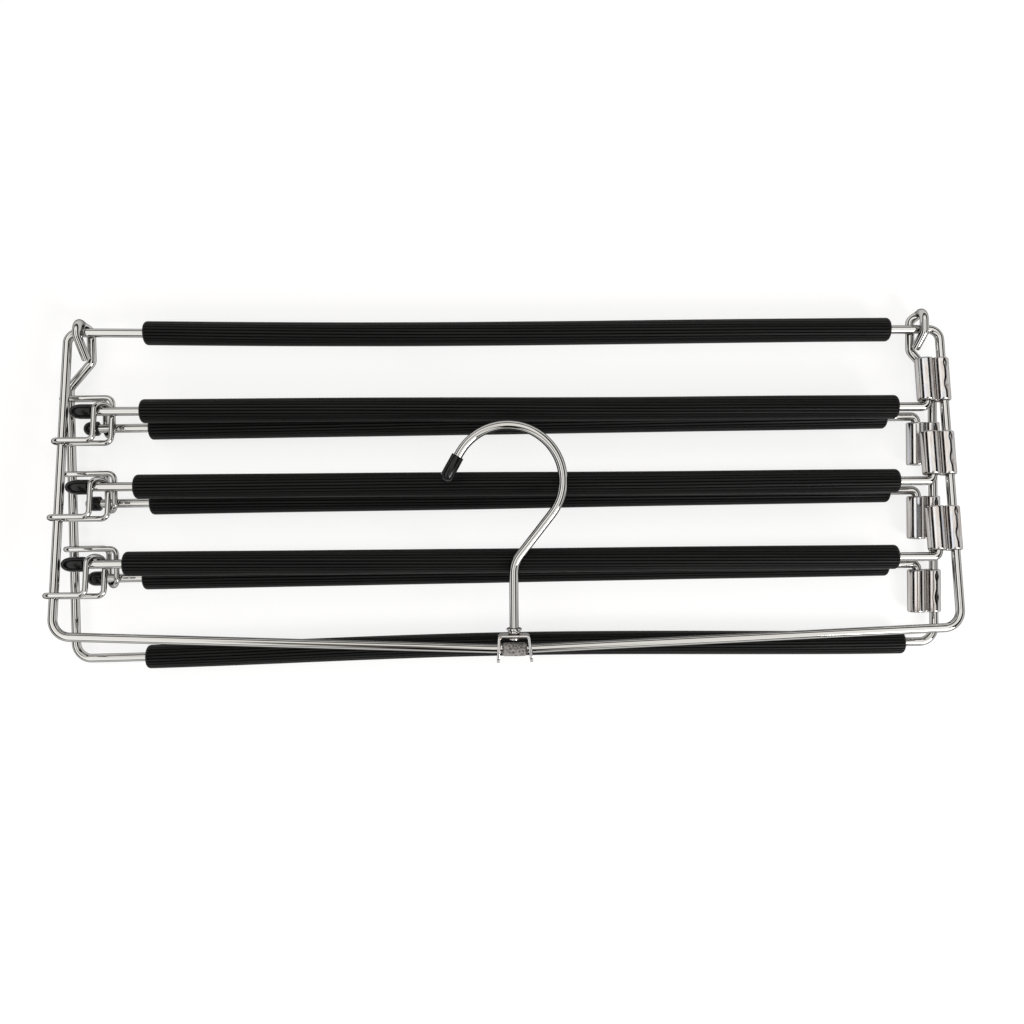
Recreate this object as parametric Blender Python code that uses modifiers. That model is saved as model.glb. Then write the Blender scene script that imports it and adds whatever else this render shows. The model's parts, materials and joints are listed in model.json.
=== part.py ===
"""Folding trouser hanger: two chromed wire frames hinged on a padded bar, with six padded swing arms.

The hanger is folded and lies on its rear frame: +X to the arms' pivots, +Y to the hinge bar, +Z up.
Each frame has its own axes: x along the bars, y up to the hinge bar, z out of the frame. Metres.
"""
import math

import bmesh
import bpy
from mathutils import Matrix, Vector

FRAME_WIRE = 0.004
CATCH_WIRE = 0.0025
GAP = 0.0002

FRAME_WIDTH = 0.400

FRONT_DROP = 0.1373
FRONT_SAG = 0.0073
UPPER_CORNER = 0.005
LOWER_CORNER = 0.008

REAR_DROP = 0.1475
REAR_CORNER = 0.007
REAR_SHIFT = -0.0015
REAR_SKEW = math.radians(0.51)

EYE_INSET = 0.0070
EYE_SPREAD = 0.0034
EYE_TAIL = 0.0106
KINK_TOP = 0.0112
KINK_LENGTH = 0.0118

ARMS_PER_FRAME = 3
ARM_PITCH = 0.0345
FRONT_FIRST_ARM = 0.0368
REAR_FIRST_ARM = 0.0417
ARM_BEND = 0.0026
ARM_LEG_STUB = 0.0010

FOAM_OD = 0.011
FOAM_RIBS = 24
RIB_DEPTH = 0.0005
FOAM_EDGE = 0.0005
ARM_FOAM_RIGHT = 0.0136
ARM_FOAM_LEFT = 0.0330
FRONT_FOAM_SLIDES = (0.0006, -0.0011, -0.0039)
REAR_FOAM_SLIDES = (0.0027, 0.0029, 0.0002)
HINGE_FOAM_RIGHT = 0.0222
HINGE_FOAM_LEFT = 0.0337
BOTTOM_FOAM_RIGHT = 0.0130
BOTTOM_FOAM_LEFT = 0.0320

SLEEVE_LENGTH = 0.020
SLEEVE_SHEET = 0.0009
SLEEVE_PITCH = 0.0079

TIP_OD = 0.0065
TIP_NOSE = 0.0032
TIP_CLEAR = 0.0005
REAR_TIP_SET_BACK = 0.0035

CATCH_LIFT = 0.0138
CATCH_REACH = 0.0147
CATCH_STAGGER = 0.0057
CATCH_CORNER = 0.0028

JOINT_SHIFT = 0.0013
JOINT_LENGTH = 0.0114
JOINT_SIZE = 0.0060
JOINT_ROUND = 0.0020

SADDLE_WIDTH = 0.0158
SADDLE_DEPTH = 0.0080
SADDLE_SHEET = 0.0012
SADDLE_RISE = 0.0067
SADDLE_TAIL = 0.0060
SADDLE_ROUND = 0.0022

HOOK_RISE = 0.0736
HOOK_RADIUS = 0.0241
HOOK_SHIFT = -0.0023
HOOK_NECK = 0.0375
HOOK_NECK_BEND = 0.012
HOOK_TIP_TURN = math.radians(150.5)
HOOK_TIP_LENGTH = 0.0132
COLLAR_OD = 0.0066
COLLAR_HEIGHT = 0.0038
HEAD_OD = 0.0050
CAP_OD = 0.0057
CAP_LENGTH = 0.0120
CAP_NOSE = 0.0025

wire_r = FRAME_WIRE / 2
catch_r = CATCH_WIRE / 2
foam_r = FOAM_OD / 2
rear_depth = FRAME_WIRE + GAP
catch_turn = wire_r + catch_r + GAP
bore_r = wire_r + GAP
sleeve_r = bore_r + SLEEVE_SHEET
side = FRAME_WIDTH / 2
arm_length = FRAME_WIDTH - SLEEVE_PITCH - wire_r - TIP_CLEAR
tip_length = CATCH_REACH - catch_r - wire_r - 2 * TIP_CLEAR
joint_drop = FRONT_DROP + FRONT_SAG
eye_outer = side - EYE_INSET
eye_inner = eye_outer - EYE_SPREAD
eye_rise = eye_outer * math.sin(REAR_SKEW)
front_arms = [FRONT_FIRST_ARM + i * ARM_PITCH for i in range(ARMS_PER_FRAME)]
rear_arms = [REAR_FIRST_ARM + i * ARM_PITCH for i in range(ARMS_PER_FRAME)]


def closing_angle():
    """The angle that the front frame keeps above the rear one when their first foams touch."""
    reach = FOAM_OD + GAP
    angles = [math.asin((sleeve_r + catch_turn + catch_r) / REAR_DROP)]
    slant = side * math.sin(abs(REAR_SKEW))
    for front in front_arms:
        for rear in [arm + slip for arm in rear_arms for slip in (-slant, slant)]:
            far = math.hypot(rear, rear_depth)
            if abs(front - far) < reach:
                cosine = (front ** 2 + far ** 2 - reach ** 2) / (2 * front * far)
                angles.append(math.acos(cosine) - math.atan2(rear_depth, rear))
    return max(angles)


fold_rest = closing_angle()
hook_rest = math.asin((foam_r + wire_r + GAP) / (joint_drop - front_arms[-1]))

for old in list(bpy.data.objects):
    bpy.data.objects.remove(old, do_unlink=True)

parts = bpy.data.collections.new("trouser_hanger")
cutters = bpy.data.collections.new("cutters")
for group in (parts, cutters):
    bpy.context.scene.collection.children.link(group)


def finish(name, colour, metallic, roughness):
    material = bpy.data.materials.new(name)
    material.use_nodes = True
    shader = material.node_tree.nodes["Principled BSDF"]
    shader.inputs["Base Color"].default_value = (*colour, 1.0)
    shader.inputs["Metallic"].default_value = metallic
    shader.inputs["Roughness"].default_value = roughness
    material.diffuse_color = (*colour, 1.0)
    return material


chrome = finish("chrome", (0.80, 0.80, 0.78), 1.0, 0.12)
sheet = finish("plated_sheet", (0.72, 0.72, 0.70), 1.0, 0.25)
zinc = finish("zinc_joint", (0.42, 0.42, 0.42), 0.8, 0.60)
foam = finish("black_foam", (0.012, 0.012, 0.013), 0.0, 0.85)
rubber = finish("black_rubber", (0.010, 0.010, 0.010), 0.0, 0.45)


def place(obj, parent, location=(0, 0, 0), rotation=(0, 0, 0)):
    obj.parent = parent
    obj.location = location
    obj.rotation_euler = rotation
    return obj


def pivot(name, parent, location=(0, 0, 0), rotation=(0, 0, 0)):
    empty = bpy.data.objects.new(name, None)
    empty.empty_display_size = 0.01
    parts.objects.link(empty)
    return place(empty, parent, location, rotation)


def wire(name, points, diameter, material, closed=False, sides=10, radii=None):
    curve = bpy.data.curves.new(name, "CURVE")
    curve.dimensions = "3D"
    curve.bevel_depth = diameter / 2
    curve.bevel_resolution = (sides - 4) // 2
    curve.use_fill_caps = True
    spline = curve.splines.new("POLY")
    spline.points.add(len(points) - 1)
    for i, point in enumerate(points):
        spline.points[i].co = (*point, 1.0)
        spline.points[i].radius = radii[i] if radii else 1.0
    spline.use_cyclic_u = closed
    curve.materials.append(material)
    obj = bpy.data.objects.new(name, curve)
    parts.objects.link(obj)
    return obj


def plate(name, outlines, thickness, material, edge=0.0):
    curve = bpy.data.curves.new(name, "CURVE")
    curve.dimensions = "2D"
    curve.fill_mode = "BOTH"
    curve.extrude = thickness / 2 - edge
    curve.bevel_depth = edge
    curve.bevel_resolution = 0
    curve.offset = -edge
    for outline in outlines:
        spline = curve.splines.new("POLY")
        spline.points.add(len(outline) - 1)
        for point, (x, y) in zip(spline.points, outline):
            point.co = (x, y, 0.0, 1.0)
        spline.use_cyclic_u = True
    curve.materials.append(material)
    obj = bpy.data.objects.new(name, curve)
    parts.objects.link(obj)
    return obj


def turned(name, profile, material, steps=12):
    mesh = bpy.data.meshes.new(name)
    edges = [(i, i + 1) for i in range(len(profile) - 1)]
    mesh.from_pydata([(r, 0.0, z) for r, z in profile], edges, [])
    mesh.materials.append(material)
    obj = bpy.data.objects.new(name, mesh)
    parts.objects.link(obj)
    screw = obj.modifiers.new("turn", "SCREW")
    screw.steps = steps
    screw.render_steps = steps
    screw.use_merge_vertices = True
    screw.merge_threshold = 0.00001
    screw.use_smooth_shade = True
    return obj


def as_mesh(obj):
    """Turns a curve object into a mesh object with welded caps, so that it can be cut."""
    bpy.context.view_layer.update()
    graph = bpy.context.evaluated_depsgraph_get()
    mesh = bpy.data.meshes.new_from_object(obj.evaluated_get(graph))
    shape = bmesh.new()
    shape.from_mesh(mesh)
    bmesh.ops.remove_doubles(shape, verts=shape.verts, dist=0.00001)
    bmesh.ops.recalc_face_normals(shape, faces=shape.faces)
    shape.to_mesh(mesh)
    shape.free()
    name = obj.name
    matrix = obj.matrix_world.copy()
    bpy.data.objects.remove(obj, do_unlink=True)
    solid = bpy.data.objects.new(name, mesh)
    solid.matrix_world = matrix
    parts.objects.link(solid)
    return solid


def drill(obj, radius, length, centre, along):
    """Cuts a round hole through obj, in obj's own axes."""
    mesh = bpy.data.meshes.new(obj.name + "_drill")
    shape = bmesh.new()
    turn = Vector((0, 0, 1)).rotation_difference(Vector(along)).to_matrix().to_4x4()
    bmesh.ops.create_cone(shape, cap_ends=True, segments=16, radius1=radius, radius2=radius,
                          depth=length, matrix=Matrix.Translation(centre) @ turn)
    shape.to_mesh(mesh)
    shape.free()
    cutter = bpy.data.objects.new(mesh.name, mesh)
    cutter.hide_render = True
    cutter.display_type = "WIRE"
    cutters.objects.link(cutter)
    cutter.parent = obj
    cut = obj.modifiers.new("drill", "BOOLEAN")
    cut.operation = "DIFFERENCE"
    cut.object = cutter


def circle(radius, steps, centre=(0.0, 0.0), start=0.0):
    turns = [start + 2 * math.pi * i / steps for i in range(steps)]
    return [(centre[0] + radius * math.cos(a), centre[1] + radius * math.sin(a)) for a in turns]


def bent(corners, steps=5):
    """A wire's route: each corner is a point and the radius of the bend there, 0 for an end."""
    route = []
    for i, (corner, radius) in enumerate(corners):
        corner = Vector(corner)
        if radius == 0:
            route.append(corner)
            continue
        back = (Vector(corners[i - 1][0]) - corner).normalized()
        ahead = (Vector(corners[(i + 1) % len(corners)][0]) - corner).normalized()
        half = back.angle(ahead) / 2
        middle = corner + (back + ahead).normalized() * (radius / math.sin(half))
        first = corner + back * (radius / math.tan(half)) - middle
        last = corner + ahead * (radius / math.tan(half)) - middle
        turn = first.rotation_difference(last)
        axis, angle = turn.to_axis_angle()
        count = max(1, round(steps * angle / (math.pi / 2)))
        for k in range(count + 1):
            route.append(middle + Matrix.Rotation(angle * k / count, 3, axis) @ first)
    return route


def foam_outline():
    """Flat-crested ribs round the sleeve, with a crest square to -y."""
    step = 2 * math.pi / FOAM_RIBS
    points = []
    for i in range(FOAM_RIBS):
        mid = -math.pi / 2 + i * step
        for turn, radius in ((-0.28, foam_r), (0.28, foam_r), (0.5, foam_r - RIB_DEPTH)):
            angle = mid + turn * step
            crest = radius / math.cos(0.28 * step) if radius == foam_r else radius
            points.append((crest * math.cos(angle), crest * math.sin(angle)))
    return points


def foam_sleeve(name, left, right, parent, y=0.0):
    """A ribbed foam sleeve on a bar along x, from left to right; its crest points to -z."""
    sleeve = plate(name, [foam_outline(), circle(bore_r, 12)], right - left, foam, FOAM_EDGE)
    return place(sleeve, parent, ((left + right) / 2, y, 0), (math.radians(90), 0, math.radians(90)))


def end_cap(name, outer, length, nose, parent, mouth, rotation):
    """A turned rubber cap with a blind bore; its nose is at +z of its own axes."""
    r = outer / 2
    flank = length - r
    profile = [(0.0, length)]
    for i in range(1, 4):
        a = math.pi / 2 * (1 - i / 3)
        profile.append((r * (0.25 + 0.75 * math.cos(a)), flank + r * math.sin(a)))
    profile += [(r, 0.0006), (r - 0.0004, 0.0), (bore_r, 0.0), (bore_r, length - nose), (0.0, length - nose)]
    return place(turned(name, profile, rubber), parent, mouth, rotation)


def swing_arm(label, number, frame, drop, flip, slide):
    """One padded arm; its pivot empty lies on the leg's axis, at the height of the bar."""
    turn = (math.radians(180), 0, 0) if flip else (0, 0, 0)
    set_back = REAR_TIP_SET_BACK if flip else 0.0
    axis = pivot(f"{label}_arm_{number}_axis", frame, (side - SLEEVE_PITCH, -drop, 0), turn)
    leg = ARM_BEND + GAP + SLEEVE_LENGTH + ARM_LEG_STUB
    end = arm_length - set_back - TIP_NOSE - GAP
    route = bent([((0, leg, 0), 0), ((0, 0, 0), ARM_BEND), ((-end, 0, 0), 0)])
    place(wire(f"{label}_arm_{number}", route, FRAME_WIRE, chrome), axis)
    foam_end = FRAME_WIDTH - SLEEVE_PITCH - ARM_FOAM_LEFT
    foam_sleeve(f"{label}_foam_{number}", slide - foam_end, slide - ARM_FOAM_RIGHT, axis)
    mouth = (tip_length - arm_length, 0, 0)
    length = tip_length - set_back
    end_cap(f"{label}_tip_{number}", TIP_OD, length, TIP_NOSE, axis, mouth, (0, math.radians(-90), 0))


def twin_sleeve(label, number, frame, drop, flip):
    """Sheet sleeve: its outer tube is crimped on the side wire, and its inner tube holds an arm's leg."""
    waist = math.asin(SLEEVE_SHEET / sleeve_r)
    outline = []
    for centre, start in ((0.0, math.pi + waist), (-SLEEVE_PITCH, waist)):
        for i in range(13):
            a = start + (2 * math.pi - 2 * waist) * i / 12
            outline.append((centre + sleeve_r * math.cos(a), sleeve_r * math.sin(a)))
    bores = [circle(bore_r, 12), circle(bore_r, 12, (-SLEEVE_PITCH, 0.0))]
    sleeve = plate(f"{label}_sleeve_{number}", [outline] + bores, SLEEVE_LENGTH, sheet)
    offset = ARM_BEND + GAP + SLEEVE_LENGTH / 2
    y = -drop - offset if flip else -drop + offset
    place(sleeve, frame, (side, y, 0), (math.radians(90), 0, 0))


def arm_catch(label, number, frame, drop, flip):
    """A closed wire loop round the side wire, bent up to cradle the arm's free end."""
    turn = (math.radians(180), 0, 0) if flip else (0, 0, 0)
    seat = pivot(f"{label}_catch_{number}_seat", frame, (-side, -drop, 0), turn)
    near, far = CATCH_REACH, CATCH_REACH + CATCH_STAGGER
    top = -CATCH_LIFT
    route = []
    for i in range(7):
        a = math.pi * i / 6
        route.append(Vector((-catch_turn * math.sin(a), top, -catch_turn * math.cos(a))))
    route += bent([((0, top, catch_turn), 0), ((near, top, catch_turn), CATCH_CORNER),
                   ((near, 0, catch_turn), 0)], 3)[1:-1]
    for i in range(9):
        a = math.pi * i / 8
        across = near + (far - near) * i / 8
        route.append(Vector((across, catch_turn * math.sin(a), catch_turn * math.cos(a))))
    route += bent([((far, 0, -catch_turn), 0), ((far, top, -catch_turn), CATCH_CORNER),
                   ((0, top, -catch_turn), 0)], 3)[1:-1]
    place(wire(f"{label}_catch_{number}", route, CATCH_WIRE, chrome, True, 8), seat)


hanger = pivot("hanger", None)
rear = pivot("rear_frame", hanger, (REAR_SHIFT, 0, foam_r), (0, 0, REAR_SKEW))
front = pivot("fold_axis", hanger, (0, 0, foam_r + rear_depth), (-fold_rest, 0, 0))

# Front frame: one wire, from the joint block round the hinge bar and back, in a shallow V at the bottom.
level = SADDLE_WIDTH / 2 + 0.0015
route = [((JOINT_SHIFT + GAP, -joint_drop, 0), 0), ((JOINT_SHIFT + level, -joint_drop, 0), 0.02)]
route += [((side, -FRONT_DROP, 0), LOWER_CORNER), ((side, 0, 0), UPPER_CORNER)]
route += [((-side, 0, 0), UPPER_CORNER), ((-side, -FRONT_DROP, 0), LOWER_CORNER)]
route += [((JOINT_SHIFT - level, -joint_drop, 0), 0.02), ((JOINT_SHIFT - GAP, -joint_drop, 0), 0)]
place(wire("front_frame_wire", bent(route), FRAME_WIRE, chrome), front)
foam_sleeve("hinge_bar_foam", HINGE_FOAM_LEFT - side, side - HINGE_FOAM_RIGHT, front)


def eye(hand):
    """Half of the rear wire, from the tail of its eye over the hinge bar and down to the side."""
    out = rear_depth * 2
    tail_step = FRAME_WIRE / 2
    tail_back = math.sqrt(rear_depth ** 2 - tail_step ** 2)
    bend = FRAME_WIRE * 0.9
    low = -hand * eye_rise - 0.4 * FRAME_WIRE
    points = bent([((hand * (eye_inner + tail_step), -EYE_TAIL, tail_back), 0),
                   ((hand * eye_outer, low, out), bend),
                   ((hand * eye_outer, eye_rise, out), 0)], 3)[:-1]
    for i in range(9):
        a = math.pi * i / 8
        x = eye_outer - EYE_SPREAD * i / 8
        y = eye_rise + rear_depth * math.sin(a)
        points.append(Vector((hand * x, y, rear_depth * (1 + math.cos(a)))))
    side_top = -(KINK_TOP + KINK_LENGTH)
    points += bent([((hand * eye_inner, eye_rise, 0), 0), ((hand * eye_inner, -KINK_TOP, 0), bend),
                    ((hand * side, side_top, 0), bend), ((hand * side, -REAR_DROP, 0), 0)], 3)[1:-1]
    return points


# Rear frame: a U of wire whose ends are bent into eyes round the hinge bar.
corner = bent([((-side, 0, 0), 0), ((-side, -REAR_DROP, 0), REAR_CORNER),
               ((side, -REAR_DROP, 0), REAR_CORNER), ((side, 0, 0), 0)])[1:-1]
route = eye(-1) + corner + eye(1)[::-1]
place(wire("rear_frame_wire", route, FRAME_WIRE, chrome), rear)
foam_sleeve("bottom_bar_foam", BOTTOM_FOAM_LEFT - side, side - BOTTOM_FOAM_RIGHT, rear, -REAR_DROP)

rows = (("front", front, front_arms, False, FRONT_FOAM_SLIDES), ("rear", rear, rear_arms, True, REAR_FOAM_SLIDES))
for label, frame, drops, flip, slides in rows:
    for number, drop in enumerate(drops, 1):
        swing_arm(label, number, frame, drop, flip, slides[(number - 1) % len(slides)])
        twin_sleeve(label, number, frame, drop, flip)
        arm_catch(label, number, frame, drop, flip)

# Joint block: the rough ferrule that holds the front wire's two ends together.
mesh = bpy.data.meshes.new("wire_joint")
shape = bmesh.new()
bmesh.ops.create_cube(shape, size=1.0, matrix=Matrix.Diagonal((JOINT_LENGTH, JOINT_SIZE, JOINT_SIZE, 1.0)))
shape.to_mesh(mesh)
shape.free()
mesh.materials.append(zinc)
block = bpy.data.objects.new("wire_joint", mesh)
parts.objects.link(block)
rounding = block.modifiers.new("rounding", "BEVEL")
rounding.width = JOINT_ROUND
rounding.segments = 2
rounding.limit_method = "ANGLE"
drill(block, bore_r, JOINT_LENGTH * 2, (0, 0, 0), (1, 0, 0))
place(block, front, (JOINT_SHIFT, -joint_drop, 0))

# Saddle: a strip bent into an inverted U that turns on the front wire, astride the joint block.
saddle_axis = pivot("saddle_axis", front, (JOINT_SHIFT, -joint_drop, 0), (hook_rest, 0, 0))
half = SADDLE_WIDTH / 2
outside = bent([((-half, -SADDLE_TAIL, 0), 0), ((-half, SADDLE_RISE, 0), SADDLE_ROUND),
                ((half, SADDLE_RISE, 0), SADDLE_ROUND), ((half, -SADDLE_TAIL, 0), 0)], 4)
inner = half - SADDLE_SHEET
roof = SADDLE_RISE - SADDLE_SHEET
inside = bent([((inner, -SADDLE_TAIL, 0), 0), ((inner, roof, 0), SADDLE_ROUND - SADDLE_SHEET),
               ((-inner, roof, 0), SADDLE_ROUND - SADDLE_SHEET), ((-inner, -SADDLE_TAIL, 0), 0)], 4)
outline = [(point.x, point.y) for point in outside + inside]
saddle = as_mesh(plate("hook_saddle", [outline], SADDLE_DEPTH, sheet))
drill(saddle, bore_r, SADDLE_WIDTH * 2, (0, 0, 0), (1, 0, 0))
drill(saddle, bore_r, SADDLE_SHEET * 2, (0, (SADDLE_RISE + roof) / 2, 0), (0, 1, 0))
place(saddle, saddle_axis)

# Hook: peened under the saddle's roof, swaged into a collar above it, then bent into its loop.
hook_axis = pivot("hook_axis", saddle_axis)
clear_block = JOINT_SIZE / 2 - JOINT_ROUND
clear_block = clear_block * math.sqrt(2) + JOINT_ROUND + GAP
collar = SADDLE_RISE + GAP
stem = [(clear_block, 0.8 * HEAD_OD), (clear_block + 0.0004, HEAD_OD), (roof - GAP - 0.0002, HEAD_OD)]
stem += [(roof - GAP, FRAME_WIRE), (collar, FRAME_WIRE), (collar + 0.0002, 0.85 * COLLAR_OD)]
stem += [(collar + 0.2 * COLLAR_HEIGHT, COLLAR_OD), (collar + 0.8 * COLLAR_HEIGHT, COLLAR_OD)]
stem += [(collar + COLLAR_HEIGHT, FRAME_WIRE)]
above = HOOK_RISE - HOOK_NECK
lean = math.asin(HOOK_RADIUS / math.hypot(HOOK_SHIFT, above)) + math.atan2(HOOK_SHIFT, above)
loop = Vector((HOOK_SHIFT, HOOK_RISE, 0))
joins = loop + HOOK_RADIUS * Vector((math.cos(lean), -math.sin(lean), 0))
neck = bent([((0, collar + COLLAR_HEIGHT, 0), 0), ((0, HOOK_NECK, 0), HOOK_NECK_BEND), (joins, 0)])[1:-1]
route = [Vector((0, y, 0)) for y, _ in stem] + neck
loop_steps = 18
for i in range(loop_steps + 1):
    a = -lean + (HOOK_TIP_TURN + lean) * i / loop_steps
    route.append(loop + HOOK_RADIUS * Vector((math.cos(a), math.sin(a), 0)))
tip_way = Vector((-math.sin(HOOK_TIP_TURN), math.cos(HOOK_TIP_TURN), 0))
cap_mouth = route[-1] + tip_way * (HOOK_TIP_LENGTH - CAP_LENGTH)
route.append(route[-1] + tip_way * (HOOK_TIP_LENGTH - CAP_NOSE - GAP))
radii = [diameter / FRAME_WIRE for _, diameter in stem] + [1.0] * (len(route) - len(stem))
place(wire("swivel_hook", route, FRAME_WIRE, chrome, radii=radii), hook_axis)
cap_turn = Vector((0, 0, 1)).rotation_difference(tip_way).to_euler()
end_cap("hook_tip", CAP_OD, CAP_LENGTH, CAP_NOSE, hook_axis, cap_mouth, cap_turn)

# The hanger stands on its origin: the middle of its box, at the level of the surface it lies on.
bpy.context.view_layer.update()
graph = bpy.context.evaluated_depsgraph_get()
corners = []
for obj in parts.objects:
    if obj.type != "EMPTY":
        solid = obj.evaluated_get(graph)
        mesh = solid.to_mesh()
        corners += [solid.matrix_world @ vertex.co for vertex in mesh.vertices]
        solid.to_mesh_clear()
for i in (0, 1):
    hanger.location[i] = -(min(c[i] for c in corners) + max(c[i] for c in corners)) / 2
bpy.context.view_layer.update()
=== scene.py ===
import json
import math

import bmesh
import bpy
from mathutils import Matrix, Quaternion, Vector, noise


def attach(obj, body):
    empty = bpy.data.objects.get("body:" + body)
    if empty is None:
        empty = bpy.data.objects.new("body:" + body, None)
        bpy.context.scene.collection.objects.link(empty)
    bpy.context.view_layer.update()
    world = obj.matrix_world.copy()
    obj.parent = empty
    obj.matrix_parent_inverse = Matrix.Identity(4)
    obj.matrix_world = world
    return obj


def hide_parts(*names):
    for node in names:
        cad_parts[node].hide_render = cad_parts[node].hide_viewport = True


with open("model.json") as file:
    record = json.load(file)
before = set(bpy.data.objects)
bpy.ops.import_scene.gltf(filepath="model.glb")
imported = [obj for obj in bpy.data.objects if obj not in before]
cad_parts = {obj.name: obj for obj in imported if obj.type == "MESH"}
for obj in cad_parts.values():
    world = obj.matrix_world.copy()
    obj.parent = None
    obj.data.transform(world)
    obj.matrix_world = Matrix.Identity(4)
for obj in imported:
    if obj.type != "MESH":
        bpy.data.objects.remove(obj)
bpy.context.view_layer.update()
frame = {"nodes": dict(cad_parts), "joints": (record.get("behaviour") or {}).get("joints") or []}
mm = 0.001
print("frame loaded,", len(frame["nodes"]), "solids")

# camera as it hung over the hanger, worked out from the bars and the side wires; place in mm
camera = {
    "lens": 36.62,
    "sensor": 36.0,
    "place": (-8.485, 0.104, 489.871),
    "turn": ((0.999693, 0.008164, -0.023378),
             (-0.007639, 0.999718, 0.022472),
             (0.023555, -0.022287, 0.999474)),
}
cameraData = bpy.data.cameras.new("camera")
cameraData.lens = camera["lens"]
cameraData.sensor_width = camera["sensor"]
cameraObject = bpy.data.objects.new("camera", cameraData)
cameraTurn = Matrix(camera["turn"]).to_4x4()
cameraObject.matrix_world = Matrix.Translation(Vector(camera["place"]) * mm) @ cameraTurn
bpy.context.scene.collection.objects.link(cameraObject)
bpy.context.scene.camera = cameraObject
bpy.context.scene.view_settings.view_transform = "Standard"
print("camera set")


def linear(hexColour):
    parts = [int(hexColour[i:i + 2], 16) / 255 for i in (1, 3, 5)]
    return tuple(c / 12.92 if c <= 0.04045 else ((c + 0.055) / 1.055) ** 2.4 for c in parts) + (1.0,)


def addNode(tree, kind, inputs=None, stops=(), **settings):
    node = tree.nodes.new(kind)
    for key, value in settings.items():
        setattr(node, key, value)
    for socket, value in (inputs or {}).items():
        if isinstance(value, bpy.types.NodeSocket):
            tree.links.new(value, node.inputs[socket])
        else:
            node.inputs[socket].default_value = value
    if stops:  # places and colours of a ramp
        elements = node.color_ramp.elements
        while len(elements) < len(stops):
            elements.new(0.5)
        for element, (at, colour) in zip(elements, stops):
            element.position, element.color = at, linear(colour)
    return node


def newMaterial(name, **sockets):
    material = bpy.data.materials.new(name)
    material.use_nodes = True
    shader = material.node_tree.nodes["Principled BSDF"]
    for socket, value in sockets.items():
        shader.inputs[socket.replace("_", " ")].default_value = value
    return material, material.node_tree, shader


def perMm(size):
    return 1 / (size * mm)  # texture scale for a pattern that repeats every size millimetres


# in the looks, sizes and heights are in mm; tone: texture values and the colour at each

# bright nickel chrome on drawn steel wire: mirror-like, a little wavy where the plating ran; its near-black edge
# colour paints dark rims along the wire, a painted reflection of dark surroundings at grazing angles
chromeLook = {"colour": "#bcbbb8", "edge": "#0a0a0a", "roughLow": 0.02, "roughHigh": 0.06,
              "smear": 9.0, "smearLow": 0.35, "smearHigh": 0.7, "wave": 5.0, "waveHeight": 0.005}


def makeChrome():
    look = chromeLook
    # the edge colour goes to the specular tint: painted dark rims on the wire's sides, painted reflection rather
    # than the chrome's own colour
    material, tree, shader = newMaterial("nickelChromeWire", Base_Color=linear(look["colour"]), Metallic=1.0,
                                         Specular_Tint=linear(look["edge"]))
    spot = addNode(tree, "ShaderNodeTexCoord").outputs["Object"]
    smear = addNode(tree, "ShaderNodeTexNoise", {
        "Vector": spot, "Scale": perMm(look["smear"]), "Detail": 4.0})
    rough = addNode(tree, "ShaderNodeMapRange", {
        "Value": smear.outputs["Fac"], "From Min": look["smearLow"], "From Max": look["smearHigh"],
        "To Min": look["roughLow"], "To Max": look["roughHigh"]})
    wave = addNode(tree, "ShaderNodeTexNoise", {
        "Vector": spot, "Scale": perMm(look["wave"]), "Detail": 2.0})
    bump = addNode(tree, "ShaderNodeBump", {
        "Height": wave.outputs["Fac"], "Strength": 1.0, "Distance": look["waveHeight"] * mm})
    tree.links.new(rough.outputs["Result"], shader.inputs["Roughness"])
    tree.links.new(bump.outputs["Normal"], shader.inputs["Normal"])
    return material


# plated mild-steel strip, rolled round the wires: duller than the wire, streaked along the roll, faintly tinted; its
# grey edge colour darkens the rims more than the plating would, a painted dark reflection
sheetLook = {"tone": [(0.36, "#b8b0ac"), (0.52, "#c8c6c3"), (0.78, "#aeb3c0")], "edge": "#8f8d8a",
             "streakWide": 1.3, "streakLong": 40.0, "streakHeight": 0.004, "streakDepth": 0.6,
             "cloud": 6.0, "cloudLow": 0.3, "cloudHigh": 0.7, "roughLow": 0.1, "roughHigh": 0.19}


def makeSheet():
    look = sheetLook
    # the edge colour goes to the specular tint: painted dark rims at grazing angles, painted reflection
    material, tree, shader = newMaterial("platedSteelStrip", Metallic=1.0, Specular_Tint=linear(look["edge"]))
    spot = addNode(tree, "ShaderNodeTexCoord").outputs["Object"]
    wide, along = perMm(look["streakWide"]), perMm(look["streakLong"])
    stretched = addNode(tree, "ShaderNodeMapping", {"Vector": spot, "Scale": (wide, along, wide)})
    streak = addNode(tree, "ShaderNodeTexNoise", {
        "Vector": stretched.outputs["Vector"], "Scale": 1.0, "Detail": 3.0})
    cloud = addNode(tree, "ShaderNodeTexNoise", {
        "Vector": spot, "Scale": perMm(look["cloud"]), "Detail": 2.0})
    tint = addNode(tree, "ShaderNodeValToRGB", {"Fac": streak.outputs["Fac"]}, stops=look["tone"])
    rough = addNode(tree, "ShaderNodeMapRange", {
        "Value": cloud.outputs["Fac"], "From Min": look["cloudLow"], "From Max": look["cloudHigh"],
        "To Min": look["roughLow"], "To Max": look["roughHigh"]})
    bump = addNode(tree, "ShaderNodeBump", {
        "Height": streak.outputs["Fac"], "Strength": look["streakDepth"],
        "Distance": look["streakHeight"] * mm})
    tree.links.new(tint.outputs["Color"], shader.inputs["Base Color"])
    tree.links.new(rough.outputs["Result"], shader.inputs["Roughness"])
    tree.links.new(bump.outputs["Normal"], shader.inputs["Normal"])
    return material


# die-cast zinc, unpolished: dull grey, pitted with sand-sized grains
zincLook = {"tone": [(0.08, "#403e3d"), (0.34, "#9a9692")], "metallic": 0.3, "roughness": 0.6,
            "grain": 0.5, "pit": 1.1, "grainHeight": 0.12, "grainDepth": 0.8}


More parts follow.
